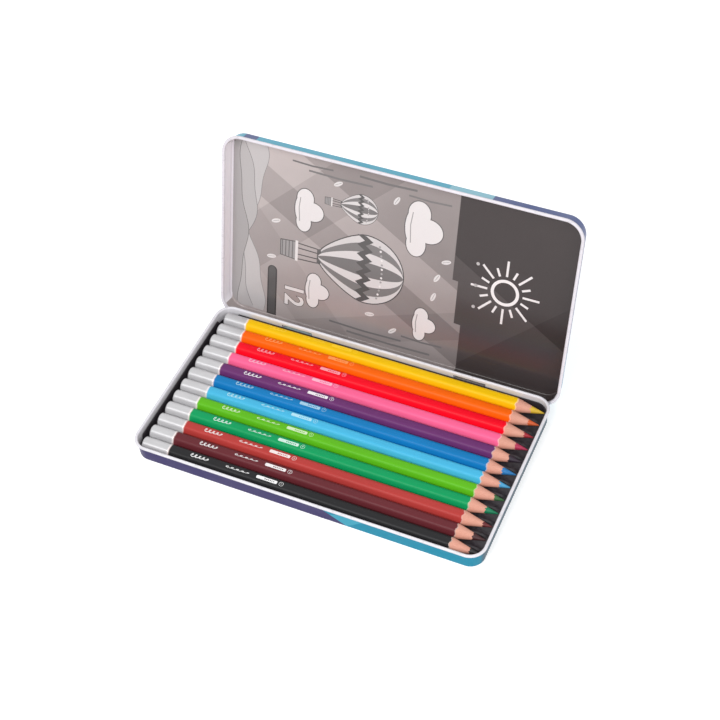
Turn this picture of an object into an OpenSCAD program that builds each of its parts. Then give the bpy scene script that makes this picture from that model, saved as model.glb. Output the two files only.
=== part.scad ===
/* Hinged tin of twelve coloured pencils.
   X runs along the pencils towards their tips, Y runs from the front edge to the hinge,
   Z is up. The origin is the middle of the tin's underside, on the table.
   The lid is drawn open, and every pencil lies in its groove of the tray. */

/* [Tin] */

// Height of the lower tin
tin_h = 10.6; // [9:0.1:20]
// Corner radius of the lower tin over its rolled rim
tin_corner_r = 8.4; // [5:0.1:16]
// Thickness of the tinplate, lacquer included
sheet_t = 0.4; // [0.3:0.05:0.8]
// Diameter of the rolled rim of the lower tin
tin_bead_d = 1.5; // [1:0.1:2.4]
// How far that rim stands out past the wall
tin_bead_out = 1.1; // [0.6:0.1:1.8]
// Radius of the pressed edge between wall and floor
fold_r = 1.2; // [0.6:0.1:2]

/* [Lid] */

// Depth of the lid from its rim to the outside of its panel
lid_h = 8.5; // [6:0.1:16]
// Diameter of the rolled rim of the lid
lid_bead_d = 1.6; // [0.8:0.1:2]
// How far the lid's rim stands out past its skirt
lid_bead_out = 1.2; // [0.6:0.1:1.6]
// Gap all round between the lid's skirt and the lower tin's rim
lid_fit = 0.2; // [0.15:0.05:0.6]
// Height of the lid's rim above the table when the tin is shut
shut_z = 4.35; // [3:0.05:8]
// Angle that the lid stands open at, past shut
open_angle = 107.4; // [90:0.1:115]

/* [Hinge] */

// Distance of each hinge window from the middle of the tin
hinge_x = 47.5; // [20:0.5:70]
// Width of each hinge window in the rear wall
window_w = 17; // [8:0.5:30]
// Lower edge of the hinge windows
window_low = 3.3; // [2:0.1:6]
// Strip of wall left between the windows and the rolled rim
window_strip = 0.4; // [0.2:0.1:1]
// Diameter of the hinge wire
pin_d = 1.6; // [1:0.1:2.4]
// Running clearance round the hinge wire, on the radius
pin_fit = 0.07; // [0.03:0.01:0.1]
// Outer diameter of the rolled tongue on the lid
curl_d = 3; // [2.4:0.1:4]
// Gap between the tongue and each side of its window
tongue_gap = 0.8; // [0.4:0.1:1.5]
// Height of the hinge axis above the lid's rim
axis_above_rim = 0.75; // [0.5:0.05:1.2]
// Distance of the hinge axis in front of the lid's outermost edge
axis_inset = 1.6; // [1:0.05:2]
// Radius of the ears that carry the hinge wire
ear_r = 1.2; // [1:0.1:1.6]
// Room that the lid's rear skirt leaves above the ears
ear_fit = 0.2; // [0.1:0.05:0.5]

/* [Tray] */

// Thickness of the formed plastic tray
tray_t = 0.4; // [0.3:0.1:0.8]
// Gap between the tray and the walls of the tin
tray_fit = 0.3; // [0.1:0.05:1]
// Gap between the tray's foot and the floor of the tin
tray_seat = 0.1; // [0:0.05:0.3]
// Gap between the tray's foot and the rounded fold at the tin's floor
foot_gap = 0.2; // [0.1:0.05:0.5]
// Height of the tray's rim above the table
tray_h = 7.4; // [5:0.1:10]
// Height of the tray's wall above its bed at the corners beside the blunt ends
tray_corner_wall = 2; // [1:0.1:4]
// Gap between an outer pencil's blunt end and the round corner of the tin
corner_gap = 0.35; // [0.3:0.05:1]
// Gap between an outer pencil's point and the round corner of the tray
point_gap = 0.2; // [0.1:0.05:1]
// Height of the ridges between two pencils
ridge_h = 1.5; // [0.5:0.1:2]
// Width of a ridge along its top
ridge_top_w = 0.9; // [0.5:0.1:1.5]
// Width of a ridge at its foot
ridge_foot_w = 3; // [1.5:0.1:3.4]

/* [Pencils] */

// Length of a new pencil
pencil_l = 175; // [120:1:180]
// Width of a pencil across its flats
pencil_af = 7.2; // [6:0.1:7.4]
// Rounding of the six long edges
pencil_edge_r = 2; // [0.3:0.1:2.8]
// Gap between the edges of two neighbouring pencils
pencil_gap = 0.2; // [0.1:0.01:1.5]
// Gap between an outer pencil and the side wall of the tray
side_room = 0.23; // [0.1:0.01:3]
// Thickness of the lacquer and of the silver dip
coat_t = 0.2; // [0.1:0.05:0.3]
// Diameter of the coloured core
core_d = 3.2; // [2:0.1:4]
// Length of the silver dip
dip_l = 14.5; // [5:0.5:25]
// Bevel of the blunt end
tail_bevel = 0.8; // [0.1:0.1:1]
// Half angle of the sharpened cone
cone_angle = 13.4; // [9:0.1:18]
// Radius of the point that the sharpener leaves
point_r = 0.25; // [0.1:0.05:0.6]
// Least distance of the blunt ends from the wall of the tin
tail_room = 3.2; // [1:0.1:6]
// Least distance of the points from the wall of the tin
tip_room = 1; // [0.8:0.1:6]
// Gap between a pencil and the bed of its groove
pencil_seat = 0.1; // [0:0.05:0.3]
// Height of the pencils' upper flats above the table
pencil_top = 9.5; // [8:0.1:12]

/* [View] */

// Part to draw

/* [Hidden] */

$fn = 96;

// Rounds a length up to a whole fiftieth of a millimetre, so that the straight
// and round runs of a drawn shell meet exactly
EVEN = 0.02;
function evened(v) = ceil(v / EVEN - 0.0001) * EVEN;

// Pencils side by side, each with one of its six flats up
PENCILS = 12;
pencil_ac = (pencil_af - 2 * pencil_edge_r) / cos(30) + 2 * pencil_edge_r;
pencil_pitch = evened(pencil_ac + pencil_gap);

// Lower tin: its inside takes the pencils in their tray, and its walls and rim lie round that.
// The outer pencils' blunt ends stay clear of its round corners.
inner_w = evened((PENCILS - 1) * pencil_pitch + pencil_ac + 2 * (side_room + tray_t + tray_fit));
inner_r = tin_corner_r - tin_bead_out - sheet_t;
edge_bevel = tail_bevel + (pencil_ac - pencil_af) / 2;
edge_rise = max(0, inner_r - side_room - tray_t - tray_fit);
edge_reach = max(edge_rise, inner_r - corner_gap);
corner_room = inner_r - sqrt(pow(edge_reach, 2) - pow(edge_rise, 2)) - edge_bevel;
tail_gap = evened(max(tail_room, corner_room));
// The outer pencils' points stay clear of the tray's round corners
point_rise = max(0, edge_rise - pencil_ac / 2 + point_r);
point_reach = max(point_rise, inner_r - tray_fit - tray_t - point_gap);
tip_gap = evened(max(tip_room, inner_r - sqrt(pow(point_reach, 2) - pow(point_rise, 2))));
inner_l = pencil_l + tail_gap + tip_gap;
wall_l = inner_l + 2 * sheet_t;
wall_w = inner_w + 2 * sheet_t;
tin_l = wall_l + 2 * tin_bead_out;
tin_w = wall_w + 2 * tin_bead_out;
wall_r = tin_corner_r - tin_bead_out;
tin_bead_r = tin_bead_d / 2;

// Lid, measured over its rolled rim, its skirt and its panel
lid_bead_r = lid_bead_d / 2;
lid_over = lid_fit + lid_bead_d;
lid_l = tin_l + 2 * lid_over;
lid_w = tin_w + 2 * lid_over;
lid_r = tin_corner_r + lid_over;
skirt_l = lid_l - 2 * lid_bead_out;
skirt_w = lid_w - 2 * lid_bead_out;
skirt_r = lid_r - lid_bead_out;

// Hinge axis
axis_y = lid_w / 2 - axis_inset;
axis_z = shut_z + axis_above_rim;
pin_r = pin_d / 2;
curl_r = curl_d / 2;
tongue_w = window_w - 2 * tongue_gap;
window_top = tin_h - tin_bead_d - window_strip;
ear_in = window_w / 2;
ear_out = ear_in + sheet_t;
pin_l = 2 * ear_out + sheet_t;
notch_w = 2 * ear_out + 4 * sheet_t;
notch_h = axis_above_rim + ear_r + ear_fit;
tongue_top = notch_h + sheet_t;

// Tray
tray_l = inner_l - 2 * tray_fit;
tray_w = inner_w - 2 * tray_fit;
tray_r = inner_r - tray_fit;
// The tray's foot stands clear of the rounded fold between the tin's floor and walls
fold_in = fold_r - sheet_t;
fold_clear = pow(max(0, fold_in - foot_gap), 2) - pow(max(0, fold_in - tray_fit), 2);
tray_foot = sheet_t + max(tray_seat, fold_in - sqrt(max(0, fold_clear)));
bed_z = pencil_top - pencil_af - pencil_seat;

// One pencil
pencil_x = tail_gap - inner_l / 2;
pencil_z = pencil_top - pencil_af / 2;
core_r = core_d / 2;
cone_slope = tan(cone_angle);
cone_l = pencil_af / cone_slope;
body_af = pencil_af - 2 * coat_t;
body_edge_r = pencil_edge_r - coat_t;
coat_end = coat_t * sqrt(2);

// Turn between two facets of a pencil's eased edge
ease_step = 20;

// Clearance that a cutting shape runs past the solid it cuts
cut = 1;

function pencil_y(i) = (i - (PENCILS - 1) / 2) * pencil_pitch;
function ridge_y(i) = (i - PENCILS / 2) * pencil_pitch;

// Section of the tray's bed: flat grooves with a ridge between each two pencils
function bed_line(z) = [
    [-tray_w / 2, z],
    for (i = [1 : PENCILS - 1], s = [
        [-ridge_foot_w / 2, 0],
        [-ridge_top_w / 2, ridge_h],
        [ridge_top_w / 2, ridge_h],
        [ridge_foot_w / 2, 0]
    ]) [ridge_y(i) + s[0], z + s[1]],
    [tray_w / 2, z]
];
function reversed(v) = [for (i = [len(v) - 1 : -1 : 0]) v[i]];

// Plan of a rectangle with round corners
module round_plan(l, w, r) {
    square([l - 2 * r, w], center = true);
    square([l, w - 2 * r], center = true);
    for (x = [-1, 1], y = [-1, 1])
        translate([x * (l / 2 - r), y * (w / 2 - r)])
            circle(r);
}

// Carries a section round a rectangle with round corners.
// The section's x is measured from the centre of the corner's arc.
module round_run(l, w, r) {
    for (q = [0 : 3]) {
        side = q % 2 == 0 ? w - 2 * r : l - 2 * r;
        reach = q % 2 == 0 ? l / 2 - r : w / 2 - r;
        rotate([0, 0, 90 * q]) {
            translate([reach, side / 2, 0])
                rotate([90, 0, 0])
                    linear_extrude(side)
                        children();
            translate([reach, side / 2, 0])
                rotate_extrude(angle = 90)
                    children();
        }
    }
}

// Quarter of the pressed edge, with its outer face at the radius r
module fold_section(r) {
    translate([r - fold_r, fold_r])
        intersection() {
            difference() {
                circle(fold_r);
                circle(fold_r - sheet_t);
            }
            translate([0, -fold_r])
                square(fold_r);
        }
}

// Wall of the lower tin with its pressed edge and its rolled rim
module tin_section() {
    fold_section(wall_r);
    translate([wall_r - sheet_t, fold_r])
        square([sheet_t, tin_h - fold_r - tin_bead_r]);
    translate([tin_corner_r - tin_bead_r, tin_h - tin_bead_r])
        circle(tin_bead_r);
}

// Skirt of the lid, drawn with its panel down and its rim up
module lid_section() {
    fold_section(skirt_r);
    translate([skirt_r - sheet_t, fold_r])
        square([sheet_t, lid_h - fold_r - lid_bead_r]);
    translate([lid_r - lid_bead_r, lid_h - lid_bead_r])
        circle(lid_bead_r);
}

// A shell with a flat bottom of the size of its wall
module pressed_shell(l, w, r) {
    round_run(l, w, r)
        children();
    linear_extrude(sheet_t)
        round_plan(l - 2 * fold_r, w - 2 * fold_r, r - fold_r);
}

// Places what is drawn about the origin on the axis of each hinge, along X
module at_hinges() {
    for (x = [-1, 1])
        translate([x * hinge_x, axis_y, axis_z])
            children();
}

// Cylinder along X, centred on the origin
module x_rod(l, r) {
    rotate([0, 90, 0])
        cylinder(h = l, r = r, center = true);
}

// The two ears beside a window, bent out from the rear wall
module ears() {
    ear_reach = axis_y - wall_w / 2 + sheet_t / 2;
    difference() {
        for (s = [-1, 1])
            translate([s * (ear_in + ear_out) / 2, 0, 0]) {
                x_rod(sheet_t, ear_r);
                translate([-sheet_t / 2, -ear_reach, -ear_r])
                    cube([sheet_t, ear_reach, 2 * ear_r]);
            }
        x_rod(pin_l + cut, pin_r);
    }
}

// Lower tin: one drawn shell with a rolled rim, two windows and their ears
module tin_base() {
    color("#d9d6dc") {
        difference() {
            pressed_shell(wall_l, wall_w, wall_r)
                tin_section();
            for (x = [-1, 1])
                translate([
                    x * hinge_x - window_w / 2,
                    wall_w / 2 - sheet_t - cut,
                    window_low
                ])
                    cube([window_w, sheet_t + 2 * cut, window_top - window_low]);
        }
        at_hinges()
            ears();
    }
}

// Two wires that the lid's tongues turn on
module hinge_pins() {
    color("#b9bcc0")
        at_hinges()
            x_rod(pin_l, pin_r);
}

// Rolled tongue on the lid's rear rim, about the hinge axis
module tongue() {
    skirt_in = axis_inset - lid_bead_out - sheet_t;
    difference() {
        union() {
            x_rod(tongue_w, curl_r);
            translate([-tongue_w / 2, skirt_in, pin_r])
                cube([tongue_w, sheet_t, tongue_top - axis_above_rim - pin_r]);
        }
        x_rod(tongue_w + cut, pin_r + pin_fit);
    }
}

// Lid as it lies on the shut tin
module lid_shut() {
    difference() {
        translate([0, 0, shut_z + lid_h])
            mirror([0, 0, 1])
                pressed_shell(skirt_l, skirt_w, skirt_r)
                    lid_section();
        for (x = [-1, 1])
            translate([
                x * hinge_x - notch_w / 2,
                lid_w / 2 - lid_bead_d - cut,
                shut_z - cut
            ])
                cube([notch_w, lid_bead_d + 2 * cut, notch_h + cut]);
    }
    at_hinges()
        tongue();
}

// Lid: one drawn shell with a rolled rim and two hinge tongues
module tin_lid() {
    color("#e4e1e6")
        translate([0, axis_y, axis_z])
            rotate([-open_angle, 0, 0])
                translate([0, -axis_y, -axis_z])
                    lid_shut();
}

// Tray: a formed sheet with a rim all round and a groove for each pencil
module insert_tray() {
    color("#2b2a2d") {
        difference() {
            translate([0, 0, tray_foot])
                linear_extrude(tray_h - tray_foot)
                    difference() {
                        round_plan(tray_l, tray_w, tray_r);
                        round_plan(tray_l - 2 * tray_t, tray_w - 2 * tray_t, tray_r - tray_t);
                    }
            // The wall is low at the corners where the outer pencils' blunt ends pass over it
            for (side = [-1, 1])
                translate([
                    -tray_l / 2 - 1,
                    side * (tray_w / 2 - tray_r / 2 + 0.5),
                    bed_z + tray_corner_wall
                ])
                    translate([0, -(tray_r + 1) / 2, 0])
                        cube([tray_r + 1, tray_r + 1, tray_h]);
        }
        intersection() {
            translate([-tray_l / 2, 0, 0])
                rotate([90, 0, 90])
                    linear_extrude(tray_l)
                        polygon(concat(bed_line(bed_z), reversed(bed_line(bed_z - tray_t))));
            linear_extrude(tray_h)
                round_plan(tray_l - tray_t, tray_w - tray_t, tray_r - tray_t / 2);
        }
    }
}

// Six-sided section with eased edges and flats that face along x
module hex_plan(af, r) {
    reach = (af / 2 - r) / cos(30);
    polygon([
        for (k = [0 : 5], s = [-30 : ease_step : 30]) [
            reach * cos(60 * k + 30) + r * cos(60 * k + 30 + s),
            reach * sin(60 * k + 30) + r * sin(60 * k + 30 + s)
        ]
    ]);
}

// Lays what is drawn along Z from the blunt end into groove i
module in_groove(i) {
    translate([pencil_x, pencil_y(i), pencil_z])
        rotate([0, 90, 0])
            children();
}

// Keeps what the sharpener leaves
module sharpened() {
    intersection() {
        children();
        translate([0, 0, pencil_l - cone_l])
            cylinder(h = cone_l, r1 = cone_l * cone_slope + point_r, r2 = point_r);
    }
}

// Wooden body below its lacquer, bored for the core
module wood_body() {
    difference() {
        union() {
            intersection() {
                translate([0, 0, coat_t])
                    linear_extrude(pencil_l - cone_l - coat_t)
                        hex_plan(body_af, body_edge_r);
                cylinder(
                    h = pencil_l,
                    r1 = pencil_af / 2 - tail_bevel - coat_end,
                    r2 = pencil_af / 2 - tail_bevel - coat_end + pencil_l
                );
            }
            sharpened()
                translate([0, 0, pencil_l - cone_l])
                    linear_extrude(cone_l)
                        hex_plan(body_af, body_edge_r);
        }
        cylinder(h = pencil_l + cut, r = core_r);
    }
}

// Coloured core from the dipped end to the point
module core_rod() {
    sharpened()
        translate([0, 0, pencil_l - cone_l])
            cylinder(h = cone_l, r = core_r);
    translate([0, 0, coat_t])
        cylinder(h = pencil_l - cone_l - coat_t, r = core_r);
}

// Lacquer on the wood, from the silver dip to the sharpened wood
module lacquer_coat() {
    difference() {
        union() {
            translate([0, 0, dip_l])
                linear_extrude(pencil_l - cone_l - dip_l)
                    hex_plan(pencil_af, pencil_edge_r);
            sharpened()
                translate([0, 0, pencil_l - cone_l])
                    linear_extrude(cone_l)
                        hex_plan(pencil_af, pencil_edge_r);
        }
        translate([0, 0, dip_l - cut])
            linear_extrude(pencil_l)
                hex_plan(body_af, body_edge_r);
    }
}

// Silver dip over the blunt end
module silver_dip() {
    difference() {
        intersection() {
            linear_extrude(dip_l)
                hex_plan(pencil_af, pencil_edge_r);
            cylinder(
                h = pencil_l,
                r1 = pencil_af / 2 - tail_bevel,
                r2 = pencil_af / 2 - tail_bevel + pencil_l
            );
        }
        intersection() {
            translate([0, 0, coat_t])
                linear_extrude(dip_l)
                    hex_plan(body_af, body_edge_r);
            cylinder(
                h = pencil_l,
                r1 = pencil_af / 2 - tail_bevel - coat_end,
                r2 = pencil_af / 2 - tail_bevel - coat_end + pencil_l
            );
        }
    }
}

// Bare wood of the pencil in groove i
module casing(i) {
    color("#eba591")
        in_groove(i)
            wood_body();
}

// Core of the pencil in groove i
module core(i, shade) {
    color(shade)
        in_groove(i)
            core_rod();
}

// Lacquer of the pencil in groove i
module lacquer(i, shade) {
    color(shade)
        in_groove(i)
            lacquer_coat();
}

// Silver end of the pencil in groove i
module dip(i) {
    color("#d6d5d8")
        in_groove(i)
            silver_dip();
}

// Pencil 1 from the front edge: black
module black_casing() {
    casing(0);
}
module black_core() {
    core(0, "#2c2b2c");
}
module black_lacquer() {
    lacquer(0, "#323234");
}
module black_dip() {
    dip(0);
}

// Pencil 2 from the front edge: maroon
module maroon_casing() {
    casing(1);
}
module maroon_core() {
    core(1, "#3c1d20");
}
module maroon_lacquer() {
    lacquer(1, "#73303a");
}
module maroon_dip() {
    dip(1);
}

// Pencil 3 from the front edge: brick red
module brick_red_casing() {
    casing(2);
}
module brick_red_core() {
    core(2, "#66242b");
}
module brick_red_lacquer() {
    lacquer(2, "#be3937");
}
module brick_red_dip() {
    dip(2);
}

// Pencil 4 from the front edge: green
module green_casing() {
    casing(3);
}
module green_core() {
    core(3, "#0a7d57");
}
module green_lacquer() {
    lacquer(3, "#18a064");
}
module green_dip() {
    dip(3);
}

// Pencil 5 from the front edge: lime
module lime_casing() {
    casing(4);
}
module lime_core() {
    core(4, "#3f6f3e");
}
module lime_lacquer() {
    lacquer(4, "#5ab91a");
}
module lime_dip() {
    dip(4);
}

// Pencil 6 from the front edge: light blue
module light_blue_casing() {
    casing(5);
}
module light_blue_core() {
    core(5, "#55a8d2");
}
module light_blue_lacquer() {
    lacquer(5, "#46b4f0");
}
module light_blue_dip() {
    dip(5);
}

// Pencil 7 from the front edge: blue
module blue_casing() {
    casing(6);
}
module blue_core() {
    core(6, "#3184c0");
}
module blue_lacquer() {
    lacquer(6, "#1478c8");
}
module blue_dip() {
    dip(6);
}

// Pencil 8 from the front edge: purple
module purple_casing() {
    casing(7);
}
module purple_core() {
    core(7, "#2f2030");
}
module purple_lacquer() {
    lacquer(7, "#5f3778");
}
module purple_dip() {
    dip(7);
}

// Pencil 9 from the front edge: pink
module pink_casing() {
    casing(8);
}
module pink_core() {
    core(8, "#b9345a");
}
module pink_lacquer() {
    lacquer(8, "#ff5f96");
}
module pink_dip() {
    dip(8);
}

// Pencil 10 from the front edge: red
module red_casing() {
    casing(9);
}
module red_core() {
    core(9, "#a92638");
}
module red_lacquer() {
    lacquer(9, "#f41433");
}
module red_dip() {
    dip(9);
}

// Pencil 11 from the front edge: orange
module orange_casing() {
    casing(10);
}
module orange_core() {
    core(10, "#dc6435");
}
module orange_lacquer() {
    lacquer(10, "#ff6b04");
}
module orange_dip() {
    dip(10);
}

// Pencil 12 from the front edge: yellow
module yellow_casing() {
    casing(11);
}
module yellow_core() {
    core(11, "#dfba3c");
}
module yellow_lacquer() {
    lacquer(11, "#ffcd00");
}
module yellow_dip() {
    dip(11);
}

tin_base();
hinge_pins();
tin_lid();
insert_tray();
black_casing();
black_core();
black_lacquer();
black_dip();
maroon_casing();
maroon_core();
maroon_lacquer();
maroon_dip();
brick_red_casing();
brick_red_core();
brick_red_lacquer();
brick_red_dip();
green_casing();
green_core();
green_lacquer();
green_dip();
lime_casing();
lime_core();
lime_lacquer();
lime_dip();
light_blue_casing();
light_blue_core();
light_blue_lacquer();
light_blue_dip();
blue_casing();
blue_core();
blue_lacquer();
blue_dip();
purple_casing();
purple_core();
purple_lacquer();
purple_dip();
pink_casing();
pink_core();
pink_lacquer();
pink_dip();
red_casing();
red_core();
red_lacquer();
red_dip();
orange_casing();
orange_core();
orange_lacquer();
orange_dip();
yellow_casing();
yellow_core();
yellow_lacquer();
yellow_dip();
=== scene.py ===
"""A hinged tin of twelve coloured pencils, open on a pale table.

Lengths in this script are millimetres. make_mesh and the lamps turn them into metres.
X runs along the pencils to their points, Y from the front edge to the hinge, Z up.
"""

from math import atan2, copysign, cos, exp, hypot, log1p, pi, radians, sin, sqrt, tan

import bmesh
import bpy
from mathutils import Matrix, Vector, noise


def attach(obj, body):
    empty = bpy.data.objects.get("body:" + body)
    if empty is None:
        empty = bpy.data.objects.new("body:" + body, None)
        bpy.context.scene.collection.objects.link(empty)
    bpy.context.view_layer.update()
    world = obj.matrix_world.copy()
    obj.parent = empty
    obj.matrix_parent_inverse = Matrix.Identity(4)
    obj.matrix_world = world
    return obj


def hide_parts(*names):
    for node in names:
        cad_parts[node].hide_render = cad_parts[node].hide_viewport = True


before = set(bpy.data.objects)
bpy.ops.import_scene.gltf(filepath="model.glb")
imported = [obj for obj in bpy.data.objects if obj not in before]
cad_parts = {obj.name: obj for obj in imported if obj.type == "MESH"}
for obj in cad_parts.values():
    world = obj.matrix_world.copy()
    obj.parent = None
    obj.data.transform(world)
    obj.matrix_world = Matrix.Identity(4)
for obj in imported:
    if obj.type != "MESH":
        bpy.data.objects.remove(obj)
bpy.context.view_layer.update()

MM = 0.001

# ---- sizes of the tin ----
SHEET, HAIR = 0.4, 0.004
TIN_L, TIN_W, TIN_H, TIN_R = 182.6, 99.46, 10.6, 8.4
BEAD_D, BEAD_OUT = 1.5, 1.1
FOLD_R = 1.2
LID_OVER = 1.8
LID_L, LID_W, LID_R = TIN_L + 2 * LID_OVER, TIN_W + 2 * LID_OVER, TIN_R + LID_OVER
LID_H, LID_BEAD_D, LID_BEAD_OUT = 8.5, 1.6, 1.2
SHUT_Z, OPEN_DEG = 4.35, 107.4
AXIS_ABOVE_RIM, AXIS_INSET = 0.75, 1.6
AXIS_Y, AXIS_Z = LID_W / 2 - AXIS_INSET, SHUT_Z + AXIS_ABOVE_RIM
HINGE_X = (-47.5, 47.5)
WINDOW_W, WINDOW_LOW, WINDOW_TOP, WINDOW_DEPTH = 17.0, 3.3, 8.7, 2.4
# how far a cut runs past what it cuts
PAST = 1
WIRE_R, CURL_R, CURL_BORE, CURL_TURN, EAR_R = 0.8, 1.5, 0.87, 325, 1.2
EAR_IN, EAR_OUT = WINDOW_W / 2, WINDOW_W / 2 + SHEET
NOTCH_W, NOTCH_H = 2 * EAR_OUT + 4 * SHEET, AXIS_ABOVE_RIM + EAR_R + 0.2
TONGUE_W = WINDOW_W - 1.6

# slots of a shell's materials
PRINT, RIM, INSIDE = 0, 1, 2

# ---- sizes of the tray and the pencils ----
TRAY_FIT, TRAY_T, TRAY_H, TRAY_FOOT, TRAY_CORNER = 0.3, 0.4, 7.4, 0.87, 4.2
INNER_L, INNER_W = TIN_L - 2 * (BEAD_OUT + SHEET), TIN_W - 2 * (BEAD_OUT + SHEET)
TRAY_L, TRAY_W, TRAY_R = INNER_L - 2 * TRAY_FIT, INNER_W - 2 * TRAY_FIT, TIN_R - BEAD_OUT - SHEET - TRAY_FIT
PENCIL_L, PENCIL_AF, PENCIL_EDGE = 175.0, 7.2, 2.0
COAT, CORE_R, POINT_R = 0.2, 1.6, 0.25
PENCIL_TOP = 9.5
PENCIL_Z = PENCIL_TOP - PENCIL_AF / 2
PENCIL_AC = (PENCIL_AF - 2 * PENCIL_EDGE) / cos(radians(30)) + 2 * PENCIL_EDGE
PITCH = 7.9
TAIL_X = 3.2 - INNER_L / 2
TAIL_ROUND, TAIL_ROUND_L = 1.2, 1.25
SLOPE = tan(radians(13.4))
BED_Z = PENCIL_TOP - PENCIL_AF - 0.1
RIDGES, RIDGE_H, RIDGE_TOP, RIDGE_FOOT = 5, 1.5, 0.9, 3.0

# name, lacquer, core, length of the silver dip, bared length of the core, strength of the stamp;
# from the front edge to the hinge
PENCILS = [
    ("black", (33, 33, 35), (46, 45, 46), 14.9, 4.9, 1.0),
    ("maroon", (100, 37, 44), (66, 28, 32), 13.5, 6.4, 0.95),
    ("brick_red", (182, 60, 56), (108, 34, 38), 14.9, 4.6, 0.9),
    ("green", (0, 155, 91), (0, 128, 86), 13.9, 6.1, 0.85),
    ("lime", (94, 184, 22), (56, 108, 58), 14.0, 4.9, 0.75),
    ("light_blue", (72, 184, 226), (78, 172, 222), 15.2, 5.2, 0.6),
    ("blue", (10, 122, 188), (40, 128, 196), 14.9, 6.7, 0.65),
    ("purple", (106, 48, 108), (44, 30, 46), 14.3, 6.7, 0.95),
    ("pink", (255, 104, 153), (190, 46, 86), 15.2, 6.1, 0.55),
    ("red", (250, 0, 34), (172, 30, 46), 15.5, 4.6, 0.65),
    ("orange", (255, 104, 0), (226, 98, 46), 14.6, 5.4, 0.35),
    ("yellow", (248, 197, 0), (232, 192, 52), 13.1, 6.8, 0.15),
]
# how far the scallops reach, against those of a sharp hexagon
SCALLOP = 0.55
# distances from the blunt end: to where the lacquer's plain stretch ends, and to where the cone's turns begin
PLAIN_END, CONE_START = 158.0, 160.0
# the field "reach" in places that are far from the edge of a coat
FAR = 9.0

# ---- the stamping ----
STAMP_START = -61.8
# how far each pencil's stamping lies behind the middle of its upper flat
STAMP_SHIFT = [0.0, 0.05, 0.1, 0.0, 0.1, 0.45, 0.5, 0.1, 0.6, 0.65, 0.6, 0.7]
STAMP_SIZES = {
    "Bar Length": 10.9, "Bar Width": 1.75, "Bar Corner": 0.35, "Slit": 0.62, "Slit Pitch": 0.92,
    "Ring": 1.15, "Ring Line": 0.17, "Number Size": 1.5,
    "Loops Length": 9.6, "Loop Width": 0.8, "Loop Height": 0.95, "Loop Shrink": 0.45, "Ink Film": 0.012,
}

# ---- the picture on the lid's panel: u along the lid from its middle, v up it from its hinge ----
INK_FILM, INK_STEP = 0.01, 0.012
# start, swell, phase, tone and level of each hill
HILLS = ((-76.0, 4.5, 0.4, 0.72, 1), (-80.5, 3.6, 2.1, 0.68, 2), (-84.4, 2.4, 3.9, 0.62, 3))
# left end and length of each streak of wind
WIND = (
    (-58, 93.5, 22), (-49, 90.2, 34), (-22, 94.0, 30), (4, 90.6, 22),
    (-34, 8.5, 40), (-24, 5.2, 46), (6, 11.5, 22),
)
# centre and size
BALLOONS = ((-20.0, 76.5, 0.42), (-16.0, 44.0, 1.0))
CLOUDS = ((15.5, 74.0, 1.2), (-46.0, 68.0, 0.95), (-40.0, 23.5, 0.8), (19.0, 21.5, 0.75))
# centre and turn of each leaf
LEAVES = (
    (-66, 58, 20), (-61, 46, 70), (-68, 37, 10), (-2, 86, 60), (-33, 87, 30),
    (22, 50, 60), (26, 60, 20), (21, 39, 70), (1, 13, 40), (-12, 19, 10),
)
# centres
SUN, TAG = (57.0, 52.0), (-67.2, 29.0)


def ink(r, g, b):
    """Linear colour of a shade given in 0 to 255."""
    def linear(c):
        return c / 12.92 if c <= 0.04045 else ((c + 0.055) / 1.055) ** 2.4
    return tuple(linear(c / 255) for c in (r, g, b)) + (1.0,)


def towards(shade, grey, part):
    """Linear colour of a shade that is moved part of the way to a grey."""
    return ink(*[c + (grey - c) * part for c in shade])


def smooth(t):
    """Runs from 0 to 1 as t does, and is level at both ends."""
    t = min(max(t, 0), 1)
    return t * t * (3 - 2 * t)


def add_object(name, data):
    """Puts an object in the scene, at the origin."""
    made = bpy.data.objects.new(name, data)
    bpy.context.collection.objects.link(made)
    return made


# ---------------------------------------------------------------- materials


class Graph:
    """A node tree, with the one way in which a node is added to it."""

    def __init__(self, tree):
        self.tree = tree

    def node(self, kind, settings=None, inputs=None, out=0):
        """Adds a node with its settings, sets or links its inputs, and gives one output if it has any."""
        made = self.tree.nodes.new(kind)
        for key, value in (settings or {}).items():
            setattr(made, key, value)
        for key, value in (inputs or {}).items():
            if isinstance(value, Amount):
                self.tree.links.new(value.socket, made.inputs[key])
            else:
                made.inputs[key].default_value = value
        return Amount(self, made.outputs[out]) if made.outputs else None


class Amount:
    """A node's output, with arithmetic that adds Math nodes."""

    def __init__(self, graph, socket):
        self.graph, self.socket = graph, socket

    def output(self, key):
        """Another output of the same node."""
        return Amount(self.graph, self.socket.node.outputs[key])

    def sum(self, operation, *others, **settings):
        inputs = dict(enumerate((self,) + others))
        return self.graph.node("ShaderNodeMath", dict(operation=operation, **settings), inputs)

    def flipped(self, operation, other):
        return self.graph.node("ShaderNodeMath", dict(operation=operation), {0: other, 1: self})

    def __add__(self, o): return self.sum("ADD", o)
    def __radd__(self, o): return self.flipped("ADD", o)
    def __sub__(self, o): return self.sum("SUBTRACT", o)
    def __rsub__(self, o): return self.flipped("SUBTRACT", o)
    def __mul__(self, o): return self.sum("MULTIPLY", o)
    def __rmul__(self, o): return self.flipped("MULTIPLY", o)
    def __pow__(self, o): return self.sum("POWER", o)
    def __abs__(self): return self.sum("ABSOLUTE")
    def above(self, o): return self.sum("MAXIMUM", o)

    def step(self, edge, soft):
        """0 below the edge, 1 above it, over a band of width soft."""
        return (self - (edge - soft / 2)).sum("DIVIDE", soft, use_clamp=True)

    def band(self, low, high, soft):
        """1 from low to high and 0 outside, with edges of width soft."""
        return self.step(low, soft) * (1 - self.step(high, soft))


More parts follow.
